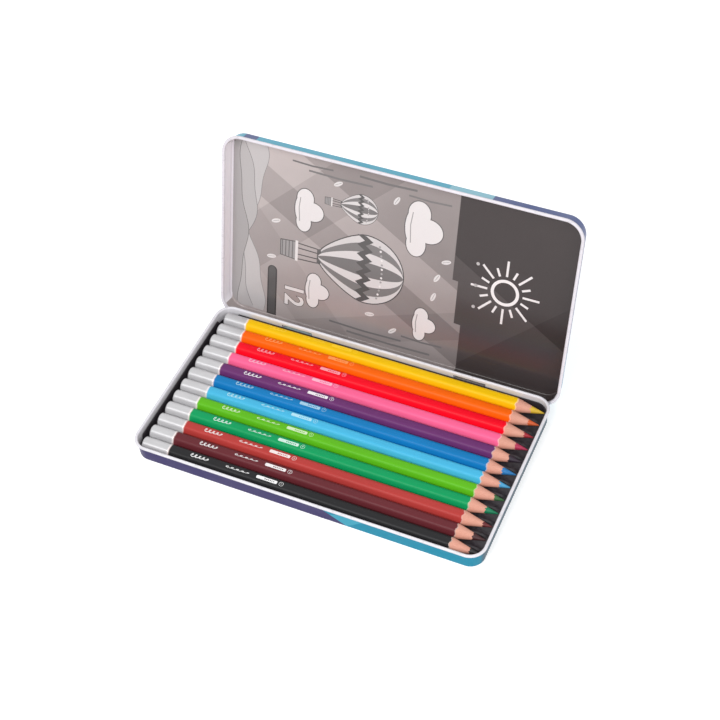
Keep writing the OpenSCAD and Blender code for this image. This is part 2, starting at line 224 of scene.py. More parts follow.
class Paint(Graph):
    """A material with a Principled shader, built from nodes."""

    def __init__(self, name, **constants):
        self.material = bpy.data.materials.new(name)
        self.material.use_nodes = True
        super().__init__(self.material.node_tree)
        self.shader = self.tree.nodes["Principled BSDF"]
        for socket, value in constants.items():
            self.shader.inputs[socket.replace("_", " ")].default_value = value

    def place(self, scale=(1, 1, 1)):
        """Object coordinates in millimetres, stretched by scale."""
        at = self.node("ShaderNodeTexCoord", out="Object")
        scale = tuple(s / MM for s in scale)
        return self.node("ShaderNodeVectorMath", dict(operation="MULTIPLY"), {0: at, 1: scale})

    def axes(self):
        """X, Y and Z in millimetres."""
        x = self.node("ShaderNodeSeparateXYZ", inputs={0: self.place()})
        return x, x.output(1), x.output(2)

    def field(self, name):
        """A number stored on the piece's points."""
        return self.node("ShaderNodeAttribute", dict(attribute_name=name), out="Fac")

    def grain(self, size, scale=(1, 1, 1), detail=3.0, rough=0.55):
        """Noise whose features are about size millimetres."""
        at = self.place(tuple(s / size for s in scale))
        inputs = {"Vector": at, "Scale": 1.0, "Detail": detail, "Roughness": rough}
        return self.node("ShaderNodeTexNoise", dict(normalize=True), inputs)

    def mix(self, factor, a, b):
        """Colour a, going over to b as factor rises from 0 to 1."""
        return self.node("ShaderNodeMix", dict(data_type="RGBA"), {0: factor, 6: a, 7: b}, out=2)

    def over(self, colour, *coats):
        """Lays coats over a colour, one by one: each is how much it covers and its shade."""
        for cover, shade in coats:
            colour = self.mix(cover, colour, shade)
        return colour

    def finish(self, colour, roughness=None, *layers, coat=None):
        """Feeds the shader, and gives the material.

        Each of layers is a height, a strength and a depth in millimetres, bumped over the one before.
        """
        normal = None
        for height, strength, depth in layers:
            inputs = {"Height": height, "Strength": strength, "Distance": depth * MM}
            if normal:
                inputs["Normal"] = normal
            normal = self.node("ShaderNodeBump", None, inputs)
        feeds = {"Base Color": colour, "Roughness": roughness, "Coat Weight": coat, "Normal": normal}
        for socket, value in feeds.items():
            if value:
                self.tree.links.new(value.socket, self.shader.inputs[socket])
        return self.material


def rim_metal(name, shade):
    """Bare, lightly rubbed tinplate of a rolled rim."""
    p = Paint(name, IOR=1.5, Specular_IOR_Level=0.35)
    scuff = p.grain(0.8, (0.25, 0.25, 1), detail=5)
    wear = scuff.step(0.62, 0.1)
    metal = p.mix(p.grain(9, detail=4), ink(*shade), towards(shade, 0, 0.07))
    metal = p.mix(wear * 0.35, metal, ink(176, 174, 178))
    dent = p.grain(3, detail=2)
    return p.finish(metal, 0.36 + scuff * 0.2 + wear * 0.12, (dent, 0.25, 0.05), (scuff, 0.15, 0.02))


def wall_inside(name, shade):
    """Clear-lacquered inside of a drawn wall, with faint drawing lines round it."""
    p = Paint(name, Metallic=0.08, IOR=1.5)
    draw = p.grain(0.5, (0.05, 0.05, 1), detail=3)
    cloud = p.grain(14, detail=3)
    colour = p.mix(cloud, ink(*shade), towards(shade, 0, 0.1))
    return p.finish(colour, 0.3 + draw * 0.22, (draw, 0.3, 0.02), (cloud, 0.2, 0.2))


PURPLE, TEAL, NAVY = ink(54, 46, 97), ink(0, 132, 161), ink(36, 62, 126)
WHITE = (1, 1, 1, 1)
INK_GAMMA = 2.2


def printed_base():
    """Outside of the lower tin: purple and teal with a slanting join, its ends dark, lacquered."""
    p = Paint("printed_base", IOR=1.5, Specular_IOR_Level=0.08, Coat_Roughness=0.15)
    x, y, z = p.axes()
    along = x - y * 0.35
    join = (along + z * 1.7).step(42.4, 0.25)
    wedge = (along - z * 2.6).step(17.5, 0.2) * (1 - (along - z * 1.2).step(40, 0.2))
    haze = p.grain(16, detail=3).step(0.55, 0.5)
    speck = p.grain(0.35, detail=2)
    scratch = p.grain(0.5, (0.06, 0.06, 1), detail=4).step(0.7, 0.06)
    near_edge = abs(x).step(TIN_L / 2 - 5, 4).above(abs(y).step(TIN_W / 2 - 5, 4))
    scrape = (1 - z.step(0.5, 0.5)) * near_edge * p.grain(0.8, (0.3, 1, 1), detail=5).step(0.6, 0.12)
    colour = p.over(
        PURPLE, (join, TEAL), (wedge * join * 0.35, ink(90, 190, 210)),
        (abs(x).step(TIN_L / 2 - 1.5, 1.5), ink(52, 45, 56)), (haze * 0.03, ink(230, 232, 240)),
        (scratch * 0.16 + scrape * 0.3, ink(205, 205, 212)),
    )
    rough = 0.3 + speck * 0.1 + scratch * 0.15 + scrape * 0.15
    return p.finish(
        colour, rough, (p.grain(5, detail=2), 0.2, 0.1), (speck, 0.1, 0.01), coat=0.08 - scrape * 0.06
    )


def lid_axes(p):
    """Along the lid, up from its hinge edge, and in from its rim, wherever the lid stands."""
    x, y, z = p.axes()
    lean = radians(OPEN_DEG)
    edge = opened((0, LID_W / 2, SHUT_Z))
    back, up = y - edge[1], z - edge[2]
    return x, back * -cos(lean) + up * sin(lean), back * sin(lean) + up * cos(lean)


def printed_lid():
    """Outside of the lid: slanting fields of teal, navy and purple and a ring, lacquered."""
    p = Paint("printed_lid", IOR=1.5, Specular_IOR_Level=0.35, Coat_Roughness=0.12)
    u, v, w = lid_axes(p)
    navy = (u + (v - LID_W) * 0.62).step(46, 0.25)
    patch = (u + (v - LID_W) * 0.9).band(-84, -77, 0.2)
    purple = (u * 0.8 + v).step(-12, 0.3)
    pale = (u * 0.55 - v).band(-88, -62, 0.3)
    deep = (u * 0.7 + v).band(74, 96, 0.3) * (1 - v.step(LID_W - 9, 0.2))
    ring = abs(((u + 38) ** 2 + (v - 52) ** 2).sum("SQRT") - 21)
    speck = p.grain(0.35, detail=2)
    haze = p.grain(18, detail=3).step(0.55, 0.5)
    scratch = p.grain(0.6, (0.05, 1, 0.3), detail=4).step(0.7, 0.06)
    colour = p.over(
        PURPLE, (purple, ink(44, 160, 188)), (pale * 0.45, ink(180, 214, 222)),
        (deep * 0.6, ink(38, 120, 168)), (navy.above(patch), NAVY),
        ((1 - ring.step(2.2, 0.2)) * w.step(7.6, 0.4), ink(236, 238, 242)),
        (haze * 0.1 + scratch * 0.14, ink(224, 226, 234)),
    )
    rough = 0.28 + speck * 0.1 + scratch * 0.15
    return p.finish(
        colour, rough, (p.grain(7, detail=2), 0.15, 0.1), (speck, 0.1, 0.01), coat=0.3 - scratch * 0.2
    )


# slope along u, start, end and change of tone of each slanting band
GREY_BANDS = (
    (0.6, 24.6, 44.5, -0.085), (0.6, 66, 240, -0.095), (-0.9, 96, 130, -0.055),
    (1.15, -58, -24, -0.03), (-0.35, 6, 22, -0.035),
)


def grey_print(name):
    """Inside of the lid: warm grey bands and a dark end on the panel, white walls round it, painted shade at
    the folds.
    """
    p = Paint(name, IOR=1.5, Specular_IOR_Level=0.2, Coat_Roughness=0.15)
    u, v, w = lid_axes(p)
    screen = p.grain(0.28, detail=2)
    cloud = p.grain(30, detail=3)
    tone = 0.694 - (u + 80) * 0.0008 + (v - 45) * 0.001 + (cloud - 0.5) * 0.08
    for slope, low, high, change in GREY_BANDS:
        tone = tone + (u * slope + v).band(low, high, 0.3) * change
    dark_end = (u + v.step(27.5, 0.2) * 3.5 + v.step(51.5, 0.2) * 3.0).step(36.5, 0.25)
    deep = (u * 0.62 + v).step(84, 0.3) * -0.08 - (u * 0.9 - v).step(28, 0.3) * 0.035
    tone = tone * (1 - dark_end) + (0.275 + deep + (cloud - 0.5) * 0.03) * dark_end
    # a dark line along the panel's side folds, fading downward: the print's dark edge with painted shade in
    # the crease
    fold = (1 - abs(abs(u) - 90.0).step(0.35, 0.5)) * v.step(60, 70)
    tone = tone + (screen - 0.5) * 0.045 - fold * 0.28
    colour = p.mix(tone.above(0.02) ** INK_GAMMA, ink(26, 10, 12), ink(250, 236, 234))
    wall = p.mix(cloud, ink(252, 248, 252), ink(246, 241, 247))
    # painted shade: the walls greyer close to the panel, where they fold into it
    wall = p.mix(w.step(6.9, 0.8), wall, ink(226, 220, 226))
    bare = abs(u).step(90.25, 0.12).above(v.step(LID_W - 2.55, 0.12))
    scratch = p.grain(0.5, (0.08, 1, 1), detail=4).step(0.71, 0.05)
    return p.finish(
        p.mix(bare, colour, wall), 0.32 + screen * 0.1 + scratch * 0.15 + bare * 0.08,
        (p.grain(9, detail=2), 0.1, 0.1), (screen, 0.05, 0.01),
        coat=(0.55 - scratch * 0.2) * (1 - bare * 0.9),
    )


def motif_ink():
    """Greys of the picture printed over the panel, each shape with its own tone."""
    p = Paint("motif_ink", IOR=1.5, Specular_IOR_Level=0.2, Coat_Roughness=0.15)
    screen = p.grain(0.28, detail=2)
    tone = p.field("tone") + (screen - 0.5) * 0.05
    colour = p.mix(tone ** INK_GAMMA, ink(14, 8, 8), ink(255, 248, 248))
    return p.finish(colour, 0.34 + screen * 0.1, (p.grain(9, detail=2), 0.12, 0.12), coat=0.5 + screen * 0.1)


def tongue_print():
    """The lid's tongues: the inside print's greys, grey-green at the left and brown at the right."""
    p = Paint("tongue_print", IOR=1.5)
    fine = p.grain(0.4, detail=3)
    rub = p.grain(0.7, (0.3, 1, 1), detail=4).step(0.62, 0.1)
    shade = p.mix(p.axes()[0].step(0, 1), ink(118, 136, 138), ink(92, 82, 76))
    return p.finish(p.mix(rub * 0.3, shade, ink(186, 186, 188)), 0.35 + fine * 0.15, (fine, 0.1, 0.01))


def tray_plastic():
    """Black formed sheet: satin, a little dusty in its grooves."""
    p = Paint("tray_plastic", IOR=1.49)
    fine = p.grain(0.3, detail=3)
    dust = p.grain(2.2, detail=5).step(0.58, 0.25) * (1 - p.axes()[2].step(4.2, 2.5))
    black = p.mix(p.grain(12), ink(44, 40, 44), ink(54, 49, 55))
    colour = p.mix(dust * 0.3, black, ink(104, 96, 104))
    rough = 0.34 + fine * 0.18 + dust * 0.2
    return p.finish(colour, rough, (p.grain(4, detail=2), 0.3, 0.15), (fine, 0.15, 0.02))


def wire_steel():
    """Drawn steel wire with lengthwise draw marks."""
    p = Paint("wire_steel", Metallic=1.0)
    draw = p.grain(0.12, (0.03, 1, 1), detail=4)
    colour = p.mix(draw, ink(150, 150, 154), ink(196, 196, 200))
    return p.finish(colour, 0.25 + draw * 0.25, (draw, 0.3, 0.02))


def silver_paint():
    """Silver dip: a satin metallic paint that pools a little at its edge."""
    p = Paint("silver_paint", Metallic=0.35, IOR=1.5)
    flake = p.grain(0.12, detail=2)
    flow = p.grain(2.5, (0.35, 1, 1), detail=3)
    edge = 1 - p.field("reach").step(0.5, 0.9)
    chip = p.grain(0.9, detail=5).step(0.73, 0.04)
    colour = p.over(
        ink(186, 185, 187), (flow, ink(204, 203, 205)), (edge * (0.55 + flow * 0.45), ink(255, 244, 242)),
        (chip * 0.5, ink(150, 148, 152)),
    )
    return p.finish(colour, 0.3 + flake * 0.14 + chip * 0.15, (flow, 0.3, 0.06), (flake, 0.12, 0.01))


def lacquer(name, shade):
    """Glossy pencil lacquer, with pale primer where the sharpener cut it."""
    p = Paint(name, IOR=1.5, Specular_IOR_Level=0.16, Coat_Roughness=0.3)
    fleck = p.grain(0.5, detail=4)
    rub = p.grain(0.7, (0.12, 1, 1), detail=4).step(0.72, 0.05)
    start = 1 - p.field("reach").step(0.3, 0.6)
    cut = p.field("cut")
    primer = (cut + (fleck - 0.5) * 0.9).step(0.42, 0.2) * cut.step(0.02, 0.04)
    colour = p.over(
        ink(*shade), (p.grain(11, (0.4, 1, 1)), towards(shade, 0, 0.07)),
        (rub * 0.14, towards(shade, 255, 0.3)), (start * (0.5 + fleck * 0.5), ink(250, 232, 228)),
        (primer * 0.5, ink(246, 216, 202)),
    )
    rough = 0.44 + rub * 0.12 + primer * 0.2 + fleck * 0.05
    ripple = p.grain(3.2, (0.16, 1, 1), detail=2)
    return p.finish(colour, rough, (ripple, 0.3, 0.08), (fleck, 0.08, 0.01), coat=0.08 - primer * 0.06)


def cedar():
    """Cut pencil wood: long fibres on the cone, with fine turns left by the blade."""
    p = Paint("pencil_wood", IOR=1.45)
    fibre = p.grain(0.45, (0.1, 1, 1), detail=5, rough=0.65)
    pore = p.grain(0.16, (0.08, 1, 1), detail=3).step(0.63, 0.1)
    shade = p.grain(3.5, (0.3, 1, 1), detail=3)
    colour = p.over(
        ink(217, 155, 135), (shade, ink(205, 138, 118)),
        (fibre.step(0.5, 0.5) * 0.5, ink(228, 180, 161)), (pore * 0.45, ink(184, 108, 90)),
    )
    chatter = (p.field("turn") * 2.2 + fibre * 0.8).sum("FRACT")
    return p.finish(colour, 0.62 + fibre * 0.2, (fibre, 0.4, 0.06), (chatter, 0.12, 0.02))


def core_wax(name, shade):
    """Waxy coloured core, shaved to a point."""
    p = Paint(name, IOR=1.45)
    smear = p.grain(0.6, (0.25, 1, 1), detail=4)
    fleck = p.grain(0.18, detail=3).step(0.66, 0.08)
    colour = p.over(ink(*shade), (smear, towards(shade, 0, 0.2)), (fleck * 0.3, towards(shade, 255, 0.4)))
    return p.finish(colour, 0.38 + smear * 0.25, (smear, 0.35, 0.05), (p.grain(0.2), 0.2, 0.02))


def stamp_foil(name, shade, strength):
    """White ink stamped on the lacquer: thin, a little broken, and fainter on the pale colours."""
    p = Paint(name, IOR=1.5, Specular_IOR_Level=0.3)
    gap = p.grain(0.22, detail=4)
    white, thin = towards(shade, 246, strength), towards(shade, 214, strength * 0.8)
    return p.finish(p.mix(gap.step(0.58, 0.2) * 0.6, white, thin), 0.35 + gap * 0.2, (gap, 0.1, 0.01))


# ---------------------------------------------------------------- mesh work


def make_mesh(name, points, faces, slots=None, sharp=(), fields=None, angle=32, materials=()):
    """A piece in place: points in millimetres, faces by index, sharp edges by pairs or by angle."""
    mesh = bpy.data.meshes.new(name)
    mesh.from_pydata([(x * MM, y * MM, z * MM) for x, y, z in points], [], faces)
    if slots:
        mesh.polygons.foreach_set("material_index", slots)
    for field, values in (fields or {}).items():
        mesh.attributes.new(field, "FLOAT", "POINT").data.foreach_set("value", values)
    work = bmesh.new()
    work.from_mesh(mesh)
    bmesh.ops.recalc_face_normals(work, faces=work.faces)
    crease = {frozenset(pair) for pair in sharp}
    for face in work.faces:
        face.smooth = True
    for edge in work.edges:
        flat = edge.calc_face_angle(0) if len(edge.link_faces) == 2 else 0
        if flat > radians(angle) or frozenset(v.index for v in edge.verts) in crease:
            edge.smooth = False
    work.to_mesh(mesh)
    work.free()
    for material in materials:
        mesh.materials.append(material)
    return add_object(name, mesh)


def baked(piece):
    """Applies a piece's modifiers and leaves a plain mesh."""
    graph = bpy.context.evaluated_depsgraph_get()
    made = piece.evaluated_get(graph)
    mesh = bpy.data.meshes.new_from_object(made, preserve_all_data_layers=True, depsgraph=graph)
    piece.modifiers.clear()
    old, piece.data = piece.data, mesh
    bpy.data.meshes.remove(old)
    return piece


def even_shading(piece):
    """Lets the large flat faces set the shading of the edges round them."""
    weight = piece.modifiers.new("even", "WEIGHTED_NORMAL")
    weight.mode, weight.weight, weight.keep_sharp = "FACE_AREA", 60, True
    return baked(piece)


class Loft:
    """Rings of points joined by faces, with the fields that its material reads."""

    def __init__(self):
        self.points, self.faces, self.rings, self.sharp, self.fields = [], [], [], [], {}

    def ring(self, points, crease=False, **fields):
        """Adds a ring and joins it to the last one. A field is one number or a list of them."""
        start = len(self.points)
        self.points += points
        ids = list(range(start, start + len(points)))
        for key, value in fields.items():
            each = value if isinstance(value, list) else [value] * len(ids)
            self.fields.setdefault(key, {}).update(zip(ids, each))
        if self.rings:
            self.band(self.rings[-1], ids)
        if crease:
            self.sharp += zip(ids, ids[1:] + ids[:1])
        self.rings.append(ids)
        return ids

    def band(self, a, b):
        n = len(a)
        self.faces += [(a[k], a[(k + 1) % n], b[(k + 1) % n], b[k]) for k in range(n)]

    def close(self):
        """Joins the last ring to the first."""
        self.band(self.rings[-1], self.rings[0])
        self.part()

    def part(self):
        """Ends a run of rings: the next ring begins another."""
        self.rings = []

    def add(self, points, faces):
        """Adds a shape that is made already."""
        base = len(self.points)
        self.points += points
        self.faces += [tuple(base + i for i in face) for face in faces]

    def cap(self, ids, centre, **fields):
        """Closes a ring to a point at its centre."""
        self.points.append(centre)
        c = len(self.points) - 1
        for key, value in fields.items():
            self.fields.setdefault(key, {})[c] = value
        self.faces += [(a, b, c) for a, b in zip(ids, ids[1:] + ids[:1])]

    def piece(self, name, material, angle=32):
        fields = {k: [v.get(i, 0.0) for i in range(len(self.points))] for k, v in self.fields.items()}
        return make_mesh(
            name, self.points, self.faces, sharp=self.sharp, fields=fields, angle=angle, materials=[material]
        )


# ---------------------------------------------------------------- pencils


def six_sided(af, edge):
    """Section of a pencil as (y, z), flats up and down, edges rounded."""
    reach = (af / 2 - edge) / cos(radians(30))

    def corner(k):
        a = radians(60 * (k % 6) + 30)
        turns = [a + radians(s) for s in range(-30, 31, 12)]
        return [(reach * sin(a) + edge * sin(b), reach * cos(a) + edge * cos(b)) for b in turns]

    section = []
    for k in range(6):
        (y0, z0), (y1, z1) = corner(k)[-1], corner(k + 1)[0]
        section += corner(k) + [(y0 + (y1 - y0) * t / 4, z0 + (z1 - z0) * t / 4) for t in (1, 2, 3)]
    return section


SKIN, BODY = six_sided(PENCIL_AF, PENCIL_EDGE), six_sided(PENCIL_AF - 2 * COAT, PENCIL_EDGE - COAT)
SKIN_R, BODY_R = [hypot(*p) for p in SKIN], [hypot(*p) for p in BODY]
WAY = [(y / r, z / r) for (y, z), r in zip(SKIN, SKIN_R)]
COUNT = len(SKIN)


def row(i):
    """The y of pencil i's axis."""
    return (i - (len(PENCILS) - 1) / 2) * PITCH


def wander(i, k, spread, seed):
    """A smooth wavering round pencil i, in millimetres either way."""
    y, z = WAY[k]
    return spread * noise.noise(Vector((y * 2.3 + 11.7 * i, z * 2.3 + seed, i * 3.1)))


def sharpened(radii):
    """Where the sharpener's cone meets a section, in scallops that are worn flatter than sharp ones."""
    mean = sum(radii) / COUNT
    return [PENCIL_L - (mean + (r - mean) * SCALLOP - POINT_R) / SLOPE for r in radii]


def on_cone(s):
    """Radii of the cone at distances s from the blunt end."""
    return [POINT_R + (PENCIL_L - a) * SLOPE for a in s]


def less(lengths, d):
    return [length - d for length in lengths]


def tail_end(s):
    """Radii of the rounded blunt end at s from the end: a round within the flats, softly joined."""
    most = PENCIL_AC / 2 + 0.02 - TAIL_ROUND * max(0, 1 - s / TAIL_ROUND_L) ** 2.2
    soft = 14
    return [most - log1p(exp(min(soft * (most - r), 40))) / soft if most < r + 0.25 else r for r in SKIN_R]


def under_coat(s):
    """Radii of the wood at s from the end, one coat in from the dip."""
    return [min(b, t - COAT) for b, t in zip(BODY_R, tail_end(s))]


class Pencil:
    """Pencil i from the front edge: where its four pieces meet, all round it."""

    def __init__(self, i, name, dip_l, bare_l):
        self.i, self.name, self.dip_l = i, name, dip_l
        self.y = row(i)
        skin_end, body_end = sharpened(SKIN_R), sharpened(BODY_R)
        self.dip_end = [dip_l + wander(i, k, 0.16, 1) for k in range(COUNT)]
        self.cut = [c + wander(i, k, 0.24, 5) + wander(i * 5, k, 0.12, 6) for k, c in enumerate(skin_end)]
        bare = [c + wander(i, k, 0.38, 7) + wander(i * 5, k, 0.26, 8) for k, c in enumerate(body_end)]
        self.bare = [max(b, c + 0.25) for b, c in zip(bare, self.cut)]
        bared = PENCIL_L - bare_l
        self.core_at = [bared + wander(i, k, 0.9, 9) + wander(i * 7, k, 0.35, 4) for k in range(COUNT)]
        self.neck = [min(CORE_R, r - 0.06) for r in on_cone(self.core_at)]

    def middle(self, s):
        return (TAIL_X + s, self.y, PENCIL_Z)

    def ring(self, s, radii):
        """Points at s along the pencil, with radii along its section's directions."""
        s = s if isinstance(s, list) else [s] * COUNT
        return [
            (TAIL_X + a, self.y + y * r, PENCIL_Z + z * r) for a, (y, z), r in zip(s, WAY, radii)
        ]

    def finish(self, loft, part, material, node, slot):
        """Makes a loft this pencil's piece, in place of a node of the part."""
        made = even_shading(loft.piece(f"{self.name}_{part}", material))
        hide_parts(f"{self.name}_{node}")
        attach(made, self.name + "_pencil")


def silver_dip(pencil, silver):
    """The dip: a cap over the blunt end with a thin lip."""
    loft = Loft()
    first = loft.ring(pencil.ring(0, [r * 0.93 for r in tail_end(0)]), reach=FAR)
    for s in (0.04, 0.14, 0.28, 0.45, 0.65, 0.9, TAIL_ROUND_L):
        loft.ring(pencil.ring(s, tail_end(s)), reach=FAR)
    for s in (pencil.dip_l * 0.35, pencil.dip_l * 0.7, pencil.dip_l - 0.8):
        loft.ring(pencil.ring(s, less(SKIN_R, 0.012 * sin(s))), reach=pencil.dip_l - s)
    for back, under in ((0.3, 0.0), (0.06, 0.0), (0.0, 0.06)):
        loft.ring(pencil.ring(less(pencil.dip_end, back), less(SKIN_R, under)), reach=back)
    loft.ring(pencil.ring(pencil.dip_end, BODY_R), crease=True, reach=0.0)
    for s in (1.7, 1.0, 0.6, COAT):
        last = loft.ring(pencil.ring(s, under_coat(s)), reach=FAR)
    loft.cap(first, pencil.middle(0), reach=FAR)
    loft.cap(last, pencil.middle(COAT), reach=FAR)
    pencil.finish(loft, "dip_coat", silver, "dip", "silver_paint")


def lacquer_coat(pencil, shade):
    """The lacquer: a thin sleeve from the dip to the sharpener's cut."""
    loft = Loft()
    loft.ring(pencil.ring(pencil.dip_end, BODY_R), crease=True, reach=0.0, cut=0.0)
    for on, under in ((0.0, 0.05), (0.06, 0.0), (0.5, 0.0)):
        loft.ring(pencil.ring(less(pencil.dip_end, -on), less(SKIN_R, under)), reach=on, cut=0.0)
    plain = [pencil.dip_l + (PLAIN_END - pencil.dip_l) * k / 13 for k in range(1, 13)] + [PLAIN_END + 0.2]
    plain.append([plain[-1] + (c - plain[-1]) * 0.6 for c in pencil.cut])
    for s in plain + [less(pencil.cut, 0.25)]:
        loft.ring(pencil.ring(s, SKIN_R), reach=FAR, cut=0.0)
    loft.ring(pencil.ring(pencil.cut, less(SKIN_R, 0.015)), crease=True, reach=FAR, cut=0.0)
    half_way = [c + (b - c) * 0.5 for b, c in zip(pencil.bare, pencil.cut)]
    loft.ring(pencil.ring(half_way, less(SKIN_R, COAT * 0.5)), reach=FAR, cut=0.5)
    loft.ring(pencil.ring(pencil.bare, BODY_R), crease=True, reach=FAR, cut=1.0)
    loft.ring(pencil.ring(120, BODY_R), reach=FAR, cut=1.0)
    loft.close()
    slot = pencil.name + "_lacquer"
    pencil.finish(loft, "lacquer_coat", lacquer(slot, shade), "lacquer", slot)


def wooden_case(pencil, cedar_wood):
    """The wood: a hollow body and the cone cut on it."""
    loft = Loft()
    bore = [CORE_R] * COUNT
    loft.ring(pencil.ring(less(pencil.core_at, 6.0), bore), turn=0.0)
    loft.ring(pencil.ring(COAT, bore), crease=True, turn=0.0)
    for s in (COAT, 0.6, 1.0, 1.7):
        loft.ring(pencil.ring(s, under_coat(s)), turn=0.0)
    for s in (150, less(pencil.bare, 0.05)):
        loft.ring(pencil.ring(s, BODY_R), turn=0.0)
    for t in (0.0, 0.12, 0.25, 0.4, 0.55, 0.7, 0.85, 1.0):
        s = [b + (c - b) * t for b, c in zip(pencil.bare, pencil.core_at)]
        radii = [r + (q - r) * min(1, t * 6) for r, q in zip(BODY_R, on_cone(s))]
        loft.ring(pencil.ring(s, radii), crease=t in (0.0, 1.0), turn=less(s, CONE_START))
    loft.ring(pencil.ring(less(pencil.core_at, 0.5), pencil.neck), turn=PENCIL_L - CONE_START)
    loft.close()
    pencil.finish(loft, "wood", cedar_wood, "casing", "pencil_wood")


def waxy_core(pencil, shade):
    """The core, out of sight through the wood and then shaved to a slightly blunted point."""
    loft = Loft()
    bore = [CORE_R] * COUNT
    first = loft.ring(pencil.ring(COAT, bore), crease=True)
    loft.ring(pencil.ring(less(pencil.core_at, 6.0), bore))
    loft.ring(pencil.ring(less(pencil.core_at, 0.5), pencil.neck))
    loft.ring(pencil.ring(pencil.core_at, on_cone(pencil.core_at)), crease=True)
    for t in (0.2, 0.4, 0.6, 0.8, 0.93):
        s = [c + (PENCIL_L - 0.35 - c) * t for c in pencil.core_at]
        shaved = [r + wander(pencil.i, k, 0.05, 13 + t * 9) for k, r in enumerate(on_cone(s))]
        loft.ring(pencil.ring(s, shaved))
    for back, r in ((0.35, 0.33), (0.2, 0.29), (0.08, 0.2), (0.02, 0.1)):
        last = loft.ring(pencil.ring(PENCIL_L - back, [r] * COUNT))
    loft.cap(first, pencil.middle(COAT))
    loft.cap(last, pencil.middle(PENCIL_L))
    slot = pencil.name + "_core"
    pencil.finish(loft, "lead", core_wax(slot, shade), "core", slot)


# ---------------------------------------------------------------- tin and lid


def round_path(l, w, r, steps=14, stops=()):
    """Points and outward directions round a rectangle with round corners.

    The straight sides get further points at stops, rising distances from the arcs of the left-hand corners.
    """
    path = []
    for qx, qy, first in ((1, 1, 0), (-1, 1, 90), (-1, -1, 180), (1, -1, 270)):
        beside = stops if qx < 0 else ()
        spots = [(0, -d) for d in reversed(beside)]
        spots += [(90 * k / steps, 0) for k in range(steps + 1)] + [(90, d) for d in beside]
        for turn, d in spots:
            a = radians(first + turn)
            nx, ny = cos(a), sin(a)
            x, y = qx * (l / 2 - r) + r * nx - d * ny, qy * (w / 2 - r) + r * ny + d * nx
            path.append(((x, y), (nx, ny)))
    return path


def shell_section(out, height, bead_d, fold):
    """Section of a drawn shell, from its floor's outside over its rolled rim to its floor's inside.

    Each point is its distance in from the rim's edge, its height, and the slot of its material.
    """
    bead_r, inner, bend = bead_d / 2, out + SHEET, fold - SHEET
    rim = height - bead_r
    drop = sqrt(max(bead_r**2 - (out - bead_r) ** 2, 0))
    start = atan2(-drop, bead_r - out)
    quarter = [radians(d) for d in (0, 18, 36, 54, 72, 90)]
    roll = [start + (pi - start) * k / 16 for k in range(17)]
    return (
        [(out + fold + 3, 0, PRINT)]
        + [(out + fold - fold * sin(a), fold - fold * cos(a), PRINT) for a in quarter]
        + [(out, rim - drop - 0.35, PRINT)]
        + [(bead_r - bead_r * cos(a), rim + bead_r * sin(a), RIM) for a in roll]
        + [(inner, rim - bead_r * 0.6, RIM)]
        + [(inner + bend * (1 - cos(a)), fold - bend * sin(a), INSIDE) for a in quarter]
    )


def drawn_shell(l, w, r, section):
    """Points, faces and slots of a shell: its section carried round its plan, with a flat floor."""
    path = round_path(l, w, r)
    loft, slots = Loft(), []
    for inset, z, slot in section:
        inset = min(inset, r - 0.05)
        loft.ring([(x - nx * inset, y - ny * inset, z) for (x, y), (nx, ny) in path])
        slots += [slot] * len(path)
    loft.faces += [tuple(reversed(loft.rings[0])), tuple(loft.rings[-1])]
    return loft.points, loft.faces, slots[len(path):] + [PRINT, INSIDE]


def box(low, high):
    """Points and faces of a block, given by two corners."""
    points = [(x, y, z) for x in (low[0], high[0]) for y in (low[1], high[1]) for z in (low[2], high[2])]
    return points, [(0, 1, 3, 2), (4, 6, 7, 5), (0, 4, 5, 1), (2, 3, 7, 6), (0, 2, 6, 4), (1, 5, 7, 3)]


def cut_openings(piece, corners):
    """Takes boxes, each given by two corners, out of a piece."""
    tools = []
    for k, (low, high) in enumerate(corners):
        tool = make_mesh(f"{piece.name}_cut_{k}", *box(low, high), materials=piece.data.materials[:1])
        take = piece.modifiers.new(f"cut_{k}", "BOOLEAN")
        take.operation, take.object, take.solver = "DIFFERENCE", tool, "EXACT"
        tools.append(tool)
    baked(piece)
    for tool in tools:
        bpy.data.objects.remove(tool)


def opened(p):
    """Carries a point of the shut lid to where the open lid has it."""
    a = radians(-OPEN_DEG)
    y, z = p[1] - AXIS_Y, p[2] - AXIS_Z
    return (p[0], AXIS_Y + y * cos(a) - z * sin(a), AXIS_Z + y * sin(a) + z * cos(a))


def ears():
    """The four ears that hold the hinge wires, bent out of the rear wall."""
    wall = TIN_W / 2 - BEAD_OUT - SHEET / 2
    outline, hole = [], []
    for k in range(36):
        y, z = cos(radians(10 * k)), sin(radians(10 * k))
        reach = min((AXIS_Y - wall) / -y, EAR_R / max(abs(z), 1e-6)) if y < -0.2 else EAR_R
        hole.append((AXIS_Y + WIRE_R * y, AXIS_Z + WIRE_R * z))
        outline.append((AXIS_Y + reach * y, AXIS_Z + reach * z))
    loft = Loft()
    for x in HINGE_X:
        for side in (-1, 1):
            inner, outer = x + side * EAR_IN, x + side * EAR_OUT
            for at, line in ((inner, outline), (inner, hole), (outer, hole), (outer, outline)):
                loft.ring([(at, y, z) for y, z in line])
            loft.close()
    return loft


def base_shell():
    """The lower tin with its two windows, and the ears beside them."""
    section = shell_section(BEAD_OUT, TIN_H, BEAD_D, FOLD_R)
    points, faces, slots = drawn_shell(TIN_L, TIN_W, TIN_R, section)
    inside = wall_inside("tin_inside", (236, 234, 238))
    materials = [printed_base(), rim_metal("tin_rim", (229, 227, 233)), inside]
    shell = make_mesh("base_shell", points, faces, slots=slots, materials=materials)
    half, near, far = WINDOW_W / 2, TIN_W / 2 - WINDOW_DEPTH, TIN_W / 2 + PAST
    cut_openings(shell, [((x - half, near, WINDOW_LOW), (x + half, far, WINDOW_TOP)) for x in HINGE_X])
    even_shading(shell)
    tabs = ears().piece("hinge_ears", inside)
    for made in (shell, tabs):
        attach(made, "tin")
    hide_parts("tin_base")


